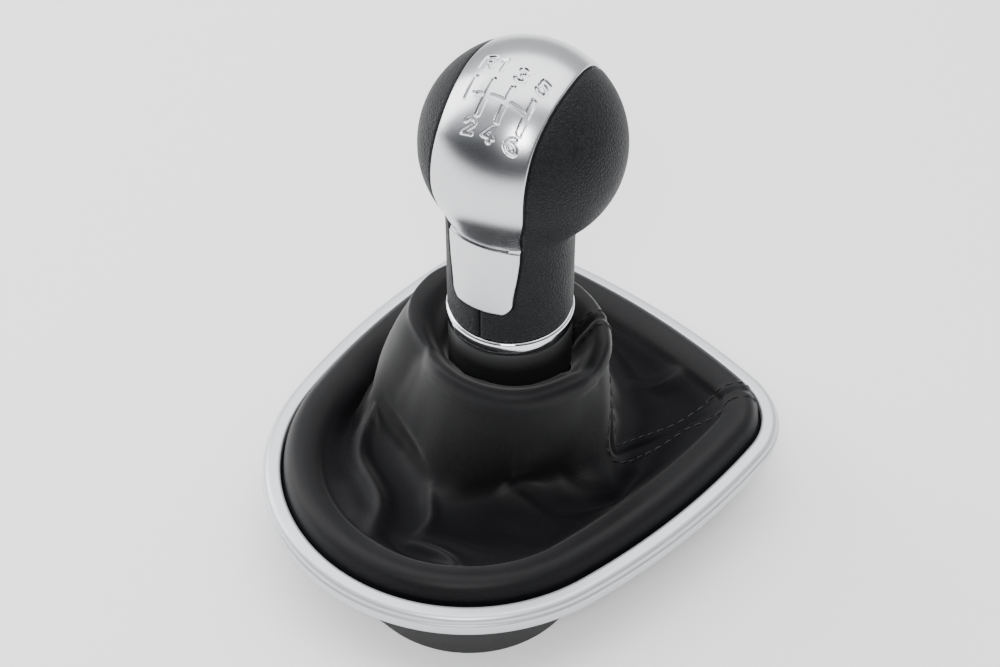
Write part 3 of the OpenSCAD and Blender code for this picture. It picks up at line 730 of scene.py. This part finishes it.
# The gaiter's leather, in mm about the lever axis, with heights from the top of the bezel
gaiter = {
    "thick": 1.3,
    "roll": 5.2,
    "grip": 16.45,
    "throat": 22.2,  # where it ends under the tie
    # runs of columns and of rows: from, to and how many. They are close together at the corner seams and in the folds
    "columns": [[0, 11, 12], [11, 54, 100], [54, 126, 76], [126, 169, 100], [169, 360, 212]],
    "rows": [
        [0, 2, 6], [2, 6, 26], [6, 6.8, 5], [6.8, 10, 52], [10, 11.7, 16],
        [11.7, 13.5, 16], [13.5, 15.5, 22], [15.5, 18.5, 32], [18.5, 20, 8],
    ],
    "cuts": [6.8, 11.7, 15.5],
    # [direction in degrees from the vehicle's right, value]
    "crest": [[0, 26.2], [12, 26.3], [28, 26.6], [43, 25.8], [56, 25], [70, 24.6], [90, 24.8], [115, 25.8], [140, 27.6],
        [160, 28.8], [178, 29.3], [198, 28.8], [212, 27.6], [222, 25.2], [234, 22.6], [243, 23.4], [256, 23.9], [286, 24.2],
        [306, 24.8], [329, 25.2], [347, 25.4]],
    "crestTop": [[0, 35.8], [10, 34.8], [20, 36.4], [30, 37.6], [45, 38], [70, 38], [100, 37.4], [140, 37.8], [175, 38.6],
        [200, 38.4], [215, 37.4], [228, 35.6], [236, 34.8], [246, 35.6], [260, 36.3], [300, 36.5], [340, 36.3]],
    "pocket": [[0, 0.3], [10, 1], [22, 0.5], [40, 0.3], [80, 0.2], [150, 0.4], [190, 0.9], [215, 1], [236, 1], [246, 0.5],
        [258, 0.1], [300, 0], [345, 0.1]],
    "mouth": [[0, 31.5], [15, 28.5], [30, 27.2], [42, 29.3], [60, 32], [100, 33.6], [150, 34.4], [190, 33.6], [212, 31.6],
        [224, 30.4], [240, 30.8], [259, 31.8], [287, 33.2], [321, 32.5], [347, 32]],
    "high": [[0, 26], [20, 26.8], [43, 26.2], [70, 25.8], [100, 26.8], [130, 28.8], [160, 31.5], [185, 33], [204, 33],
        [218, 30.2], [230, 26], [240, 25], [256, 25], [275, 25.3], [306, 25.2], [330, 25.6], [350, 26]],
    "mid": [[0, 26.5], [18, 28], [43, 26.8], [70, 27], [100, 28.5], [130, 31], [160, 34], [185, 36], [204, 36.7], [216, 35],
        [226, 31], [238, 28.3], [256, 27.5], [270, 28], [285, 27.3], [306, 25.3], [330, 25.4], [345, 25.8]],
    "low": [[0, 29.5], [15, 29.3], [43, 28], [70, 29.5], [100, 31], [130, 33], [160, 36], [185, 38], [204, 38.8], [216, 37.5],
        [224, 34.5], [234, 32], [245, 30.5], [256, 30], [268, 30.8], [276, 31], [290, 29], [306, 25], [326, 24.2],
        [342, 25.5]],
    "foot": [[0, 36], [8, 33], [20, 31.5], [43, 31], [70, 32.5], [100, 34], [130, 36], [160, 38], [185, 39.5], [204, 40],
        [216, 40], [224, 37], [234, 34], [245, 32], [256, 32.2], [268, 33.6], [276, 36], [282, 35], [292, 31.4], [306, 26.6],
        [316, 25], [326, 25], [342, 28], [350, 32]],
    "valley": [[0, -2], [20, -2.6], [49, -2.2], [90, -2], [131, -2.4], [180, -2.4], [215, -2.8], [240, -2.2], [262, -1.0],
        [300, -0.8], [330, -1.4]],
    # folds of the skirt: points [x, y, height] and half width
    "skirtFolds": [
        [[[-30, -17, 2], [-27.8, -25, 3.8], [-26.8, -29.9, 4.9], [-25.1, -33.2, 5.2], [-21.5, -37.2, 5.0], [-17, -39.9, 4.8],
          [-11.3, -42.3, 4.4], [-6.3, -44.8, 3.9], [-3.3, -47.9, 3.2], [-1.1, -52.6, 2.3], [0.5, -56.9, 1]], 3.5],
        [[[2.5, -34.5, 1], [5, -37, 2.4], [8.2, -40.5, 2.6], [8.8, -44, 1.9], [8.2, -47, 0.9]], 2.2],
        [[[8, -49.8, 0.6], [11, -49, 1.7], [16.3, -47.7, 2.3], [19.8, -47.3, 2.4], [22.7, -47.6, 2.3], [25.4, -49, 2.0],
          [27.7, -51.5, 1.2]], 2.1],
        [[[10.8, -45.3, 1.1], [16.8, -42.2, 1.3], [23.6, -40, 1.1], [31, -35.6, 0.5]], 3.2],
        [[[4, -52.5, -0.8], [10, -53, -1.5], [17, -52, -1]], 2.6],
        [[[17, -20, 1.2], [23, -19.6, 1.6], [31, -18.8, 1.5], [37, -16.5, 0.6]], 3.4],
        [[[-16, -47, 1.4], [-8, -52, 1.6]], 5.0],
        [[[24, -29, -1.0], [34, -27, -1.3]], 4.5],
        [[[45, 51, 1.6], [41, 43, 1.6], [38, 36, 1.4], [38.5, 26, 1.3], [38, 16, 1.2], [34, 7, 1]], 3.6],
        [[[-45, 51, 1.6], [-41, 43, 1.6], [-38, 36, 1.4], [-38.5, 26, 1.3], [-39, 16, 1.2], [-38, 10, 1]], 3.6],
        [[[-41, -2, 1], [-43, 8, 2.4], [-40, 17, 2.2], [-33, 22, 1.2]], 3.4],
        [[[-22, 36, 1.2], [-10, 40, 2.6], [4, 39, 2.4], [12, 36, 1]], 3.4],
        [[[16, 34, 1], [22, 40, 2], [24, 47, 1]], 2.6],
    ],
    # folds on the tube and in its mouth: points [x, y, z, height] and half width
    "wallFolds": [
        [[[17.2, -19, 21, 0.1], [17.1, -18.9, 13, 0.55], [16.9, -18.6, 4, 0.6]], 1.5],
        [[[23.5, -13, 17, -0.4], [24.5, -11, 10, -0.9], [26, -8, 4, -0.8]], 4.0],
        [[[-24.5, -22.5, 10, -0.5], [-16.5, -25.5, 9, -1.0], [-9, -28.5, 8, -0.9], [-3, -30.5, 7, -0.3]], 2.2],
        [[[-15, -17, 30, -0.7], [-17.5, -20, 22, -0.9], [-20, -22, 14, -0.6]], 2.4],
        [[[-9.6, -13.8, 32, 0.4], [-6.2, -15.8, 31.6, 0.8], [-1.2, -17, 31, 0.8], [4, -16.5, 30.4, 0.3]], 0.8],
        [[[22.8, 3, 35, -0.2], [24.5, 5.5, 33, -0.4], [27, 7, 27, -0.3]], 2.6],
        [[[-33, 6, 24, 0.3], [-35, 7, 14, 0.9], [-37, 6, 5, 0.7]], 3.6],
        [[[2, 26, 30, 0.2], [1, 28, 18, -0.8], [-2, 31, 6, -0.8]], 3.2],
        [[[-16, 23, 30, 0.4], [-18, 25, 18, 0.9], [-21, 27, 6, 0.9]], 3.0],
        [[[16, 21, 28, -0.3], [19, 21, 18, -0.7], [23, 21, 7, -0.7]], 3.0],
    ],
}


def byDirection(table, a):
    # value by direction, straight between the table's entries and then softened over a few degrees
    table = np.array(table, float)
    fine = np.arange(0, 360, 0.5)
    value = np.interp(fine, table[:, 0], table[:, 1], period=360)
    spread = np.exp(-((((fine + 180) % 360 - 180) / 4.0) ** 2))
    soft = np.fft.irfft(np.fft.rfft(value) * np.fft.rfft(spread / spread.sum()), len(fine))
    return np.interp(a, fine, soft, period=360)


def gaiterLines(a):
    # control points [distance, height] for each direction a, from the hem to the throat: 21 x directions x 2
    crest, top, pocket, mouth = (byDirection(gaiter[k], a) for k in ("crest", "crestTop", "pocket", "mouth"))
    high, mid, low, foot, valley = (byDirection(gaiter[k], a) for k in ("high", "mid", "low", "foot", "valley"))
    inner = np.maximum(rimReach(a, -12.0), foot + 3.5)
    grip, throat, roll = gaiter["grip"], gaiter["throat"], gaiter["roll"]
    lines = [
        [rimReach(a, 2.0), -2.9], [rimReach(a, 0.0), -2.9], [rimReach(a, -0.9), -1.2], [rimReach(a, -1.2), 1.4],
        [rimReach(a, -2.9), roll - 1.0], [rimReach(a, -5.8), roll],
        [0.35 * rimReach(a, -6.0) + 0.65 * inner, roll - 1.7], [inner - 0.7, 0.9], [0.5 * inner + 0.5 * (foot + 1.5), valley],
        [foot + 1.0 + 0.12 * (inner - foot), 0.5], [foot - 0.6, 3.4], [low, 9.0], [mid, 18.0], [high, 28.0],
        [crest + 0.8, top - 3.0], [crest - 0.5, top - 0.3], [0.67 * crest + 0.33 * grip, top - 0.25 - 0.5 * pocket],
        [0.38 * crest + 0.62 * grip, 0.55 * top + 0.45 * mouth - 0.25 - 0.9 * pocket],
        [grip + 1.1, mouth + 0.3], [grip + 0.05, mouth - 3.2], [grip, throat],
    ]
    return np.stack([pack(r + 0 * a, h) for r, h in lines])


def foldHeight(p, folds):
    # sum of the folds at points p: each a bell across its line, whose height runs smoothly along the line
    total = np.zeros(p.shape[:-1])
    size = p.shape[-1]
    for line, width in folds:
        line = np.asarray(line, float)
        line = evenly(throughPoints(line, np.linspace(0, len(line) - 1, 60)), 24)
        best = np.full(p.shape[:-1], 1e9)
        height = np.zeros(p.shape[:-1])
        for start, stop in zip(line[:-1], line[1:]):
            k, d = fromSegment(p, start[:size], stop[:size])
            height = np.where(d < best, start[size] + k * (stop[size] - start[size]), height)
            best = np.minimum(best, d)
        total += height / (1 + (best / width) ** 2) ** 1.6 * np.exp(-((best / (3.2 * width)) ** 4))
    return total


def gaiterFace(a, t):
    # the leather's face: each direction's control line as a smooth curve, then the skirt's folds up and the wall's folds out
    q = throughPoints(gaiterLines(a), t)
    x, y, z = q[..., 0] * np.cos(np.radians(a)), q[..., 0] * np.sin(np.radians(a)), q[..., 1]
    onSkirt = (smoothStep((t - 6.0) / 1.4) * smoothStep((11.2 - t) / 1.6))[:, None]
    z = z + onSkirt * foldHeight(pack(x, y), gaiter["skirtFolds"])
    face = pack(x, y, z)
    onWall = (smoothStep((t - 9.2) / 1.2) * smoothStep((18.8 - t) / 0.8))[:, None]
    push = onWall * foldHeight(face, gaiter["wallFolds"])
    face = face + push[..., None] * gridNormals(face, wrapColumns=True)
    return face + [0, place["leverY"], place["bezelTop"]]


seam = {
    "angle": 49.0,
    "swing": 34.0,  # how far it swings round to the side, most at the tube's foot
    "place": 10.0,
    "spread": 1.9,
    "from": 2.6,
    "to": 18.4,
    "groove": 0.42,
    "half": 0.8,
    "puff": 0.16,
    "rowsAt": 2.6,
    "stitch": 2.6,
    "pitch": 3.3,
    "thread": 0.2,
}


def seamDirection(t, side):
    base = seam["angle"] - seam["swing"] * np.exp(-(((t - seam["place"]) / seam["spread"]) ** 2))
    return base if side > 0 else 180 - base


def sampled(grid, a, t, atA, atT):
    # values of the grid between its points, at directions atA and places atT
    column, row = np.interp(atA, a, np.arange(len(a))), np.interp(atT, t, np.arange(len(t)))
    c, r = np.clip(np.floor(column).astype(int), 0, len(a) - 2), np.clip(np.floor(row).astype(int), 0, len(t) - 2)
    f, g = (column - c)[:, None], (row - r)[:, None]
    return (1 - g) * ((1 - f) * grid[r, c] + f * grid[r, c + 1]) + g * ((1 - f) * grid[r + 1, c] + f * grid[r + 1, c + 1])


def seamGroove(face, normals, a, t):
    # the leather sinks into each corner seam and swells a little on both sides of it
    for side in (1, -1):
        places = np.linspace(seam["from"], seam["to"], 150)
        d = nearLines(face, [sampled(face, a, t, seamDirection(places, side), places)])
        lift = seam["puff"] * np.exp(-(((d - 1.9) / 1.0) ** 2)) - seam["groove"] * np.exp(-((d / seam["half"]) ** 2))
        face = face + lift[..., None] * normals
    return face


def stitchRow(face, normals, a, t, side, offset):
    # centres, normals and places of a stitch row that runs beside a corner seam
    places = np.linspace(seam["from"] + 0.2, seam["to"], 400)
    turn = seamDirection(places, side)
    line, up = sampled(face, a, t, turn, places), unit(sampled(normals, a, t, turn, places))
    across = unit(np.cross(up, np.gradient(line, axis=0))) * offset
    overA = sampled(face, a, t, turn + 0.5, places) - sampled(face, a, t, turn - 0.5, places)
    overT = (sampled(face, a, t, turn, places + 0.05) - sampled(face, a, t, turn, places - 0.05)) / 0.1
    aa, tt, at = (np.sum(u * v, -1) for u, v in ((overA, overA), (overT, overT), (overA, overT)))
    ca, ct = np.sum(across * overA, -1), np.sum(across * overT, -1)
    scale = aa * tt - at * at
    turn, places = turn + (ca * tt - ct * at) / scale, places + (ct * aa - ca * at) / scale
    line, up = sampled(face, a, t, turn, places), unit(sampled(normals, a, t, turn, places))
    run = np.concatenate([[0], np.cumsum(sizeOf(np.diff(line, axis=0)))])
    starts = np.arange(1.0, run[-1] - seam["pitch"], seam["pitch"])
    at = starts[:, None] + np.linspace(0, seam["stitch"], 7)
    pick = lambda v: np.stack([np.interp(at, run, v[:, k]) for k in range(3)], -1)
    return pick(line), unit(pick(up)), np.interp(at[:, 3], run, places)


def stitches(centres, up):
    # each stitch: a bent round thread whose ends dive into the leather
    height = np.array([-0.2, 0.03, 0.1, 0.12, 0.1, 0.03, -0.2])
    width = seam["thread"] * np.array([0.6, 0.95, 1, 1, 1, 0.95, 0.6])
    round_ = np.radians(np.arange(0, 360, 45))
    parts = []
    for line, n in zip(centres, up):
        b = unit(np.cross(n, np.gradient(line, axis=0)))
        middle = line + n * height[:, None]
        spoke = np.cos(round_)[:, None] * b[:, None] + np.sin(round_)[:, None] * n[:, None]
        ring = middle[:, None] + width[:, None, None] * spoke
        ends = [np.arange(8), np.arange(8)[::-1] + 48]
        parts.append((ring.reshape(-1, 3), np.concatenate([gridQuads(7, 8, wrapColumns=True), *map(capQuads, ends)])))
    return joined(parts)


def makeGaiter():
    a = np.concatenate([np.linspace(start, stop, n, endpoint=False) for start, stop, n in gaiter["columns"]])
    t = np.concatenate([np.linspace(start, stop, n, endpoint=False) for start, stop, n in gaiter["rows"]] + [[20.0]])
    plain = gaiterFace(a, t)
    face = seamGroove(plain, gridNormals(plain, wrapColumns=True), a, t)
    normals = gridNormals(face, wrapColumns=True)
    inner = face - normals * gaiter["thick"]
    cuts = [0] + [int(np.argmin(np.abs(t - k))) for k in gaiter["cuts"]] + [len(t) - 1]
    # name, body or pair of bodies, and two heights in mm; a band with one body is attached to it, a band with a pair is
    # left fixed where it is made, and the pair and heights are not used
    bands = [
        ["gaiter_roll", "frame"],
        ["gaiter_skirt", "frame", "gaiter_lower", 26.5, 37.9],
        ["gaiter_tube", "gaiter_lower", "gaiter_upper", 39.0, 52.0],
        ["gaiter_throat", "gaiter_upper", "knob", 57.0, 48.0],
    ]
    rowsOfStitches = [stitchRow(face, normals, a, t, side, offset * seam["rowsAt"]) for side in (1, -1) for offset in (1, -1)]
    centres, ups, places = (np.concatenate([row[k] for row in rowsOfStitches]) for k in range(3))
    for (name, *moves), first, last in zip(bands, cuts[:-1], cuts[1:]):
        rows = slice(first, last + 1)
        points, quads = shellOf(face[rows], inner[rows], wrapColumns=True)
        shading = normals[rows].reshape(-1, 3)
        shading = np.concatenate([shading, -shading])
        leather = addPiece(name, points, quads, smoothLeather, normals=shading)
        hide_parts("gaiter_main_panel", "gaiter_front_panel")
        inside = (places >= t[first]) & (places < t[last])
        points, quads = stitches(centres[inside], ups[inside])
        threads = addPiece(name.replace("gaiter", "stitches"), points, quads, thread)
        for piece in (leather, threads):
            if len(moves) == 1:
                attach(piece, moves[0])
            else:
                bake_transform(piece)


makeGaiter()
print("gaiter made")

# CAD nodes that stay as they are get their real finishes
finishes = {"knob_core": filledNylon, "lever_sleeve": filledNylon, "sleeve_clamp": rolledSteel, "gaiter_tie": blackAbs}
for node, material in finishes.items():
    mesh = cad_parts[node].data
    mesh.materials.clear()
    mesh.materials.append(material)

# Floor, light and camera
floorMesh = bpy.data.meshes.new("floor")
floorMesh.from_pydata([(-3, -3, 0), (3, -3, 0), (3, 3, 0), (-3, 3, 0)], [], [(0, 1, 2, 3)])
floor = bpy.data.objects.new("floor", floorMesh)
floorMesh.materials.append(floorMaterial)
bpy.context.scene.collection.objects.link(floor)

view = {"elevation": 45.0, "azimuth": 42.0, "distance": 560.0, "right": -2.69, "up": -7.26, "lens": 77.22}
el, az = math.radians(view["elevation"]), math.radians(view["azimuth"])
back = np.array([math.sin(az) * math.cos(el), -math.cos(az) * math.cos(el), math.sin(el)])
right = np.array([math.cos(az), math.sin(az), 0])
up = np.cross(right, -back)
eye = np.array([0, place["leverY"], place["ringZ"]]) + view["distance"] * back + view["right"] * right + view["up"] * up
cameraData = bpy.data.cameras.new("photo camera")
cameraData.lens, cameraData.sensor_width = view["lens"], 36
camera = bpy.data.objects.new("photo camera", cameraData)
bpy.context.scene.collection.objects.link(camera)
camera.location = eye * mm
camera.rotation_euler = (math.radians(90) - el, 0, az)
bpy.context.scene.camera = camera

lights = [
    # name, place in m, size in m, watts
    ["overhead softbox", (-0.25, 0.35, 1.15), (1.7, 1.4), 21],
    ["left softbox", (-0.95, -0.25, 0.5), (0.6, 0.9), 9],
    ["front softbox", (0.42, -0.55, 0.78), (0.3, 0.3), 5],
]
for name, where, size, power in lights:
    data = bpy.data.lights.new(name, "AREA")
    data.shape, data.size, data.size_y, data.energy = "RECTANGLE", *size, power
    lamp = bpy.data.objects.new(name, data)
    lamp.location = where
    aim = np.array([0, 0, 0.07]) - np.array(where)
    lamp.rotation_euler = (math.atan2(math.hypot(aim[0], aim[1]), -aim[2]), 0, math.atan2(aim[0], -aim[1]) + math.pi)
    bpy.context.scene.collection.objects.link(lamp)
world = bpy.data.worlds.new("studio")
bpy.context.scene.world = world
world.use_nodes = True
# the room is bright overhead and behind the part, and dark low down in front of it: the metal's soft dark band
lookUp = addNode(world, "TexCoord").outputs["Generated"]
rise = addNode(world, "VectorMath", {0: lookUp, 1: (-0.42, 0.48, 1.0)}, operation="DOT_PRODUCT").outputs["Value"]
roomStops = [(0.0, "#34363a"), (0.1, "#44464b"), (0.36, "#dcdee2"), (1.0, "#f6f7f9")]
room = addNode(world, "ValToRGB", {"Fac": rise}, stops=roomStops)
background = world.node_tree.nodes["Background"]
background.inputs["Strength"].default_value = 0.8
feed(background, Color=room.outputs["Color"])
print("stage made")
